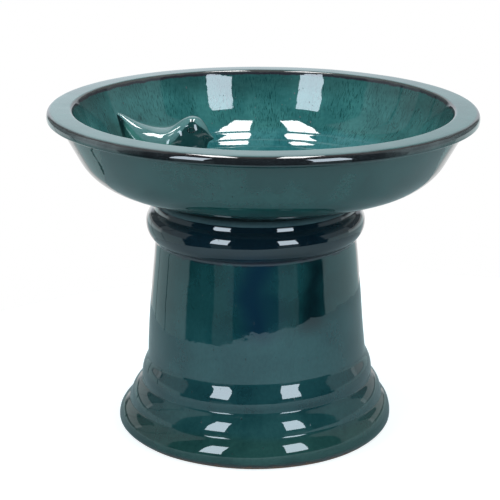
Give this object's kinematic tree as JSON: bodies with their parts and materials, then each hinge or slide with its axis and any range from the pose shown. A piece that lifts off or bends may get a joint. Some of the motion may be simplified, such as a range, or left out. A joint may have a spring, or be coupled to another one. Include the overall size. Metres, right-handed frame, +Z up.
{
  "type": "bird bath",
  "caption": "Low glazed stoneware bird bath: a wide round bowl with a flat rim and a small bird in it, set down on a hollow turned pedestal with a beaded base.",
  "frame": {"origin": "on the ground, under the axis of the bowl, which is the centre of the object's plan", "axes": "+Z up, the bird faces +X, and the view it was built from looks along +Y"},
  "size_m": [0.45, 0.45, 0.351],
  "materials": {
    "pedestal_glaze": "gloss",
    "bowl_glaze": "gloss",
    "bare_stoneware": "matte",
    "bird_glaze": "gloss"
  },
  "bodies": {
    "pedestal": {"pedestal": "pedestal_glaze"},
    "bowl": {"bowl": "bowl_glaze", "locating_ring": "bare_stoneware", "bird": "bird_glaze"}
  },
  "joints": [
    {"name": "bowl_lift", "type": "slide", "parent": "pedestal", "child": "bowl", "axis": [0, 0, 1], "range_m": [0, 0.06]}
  ]
}
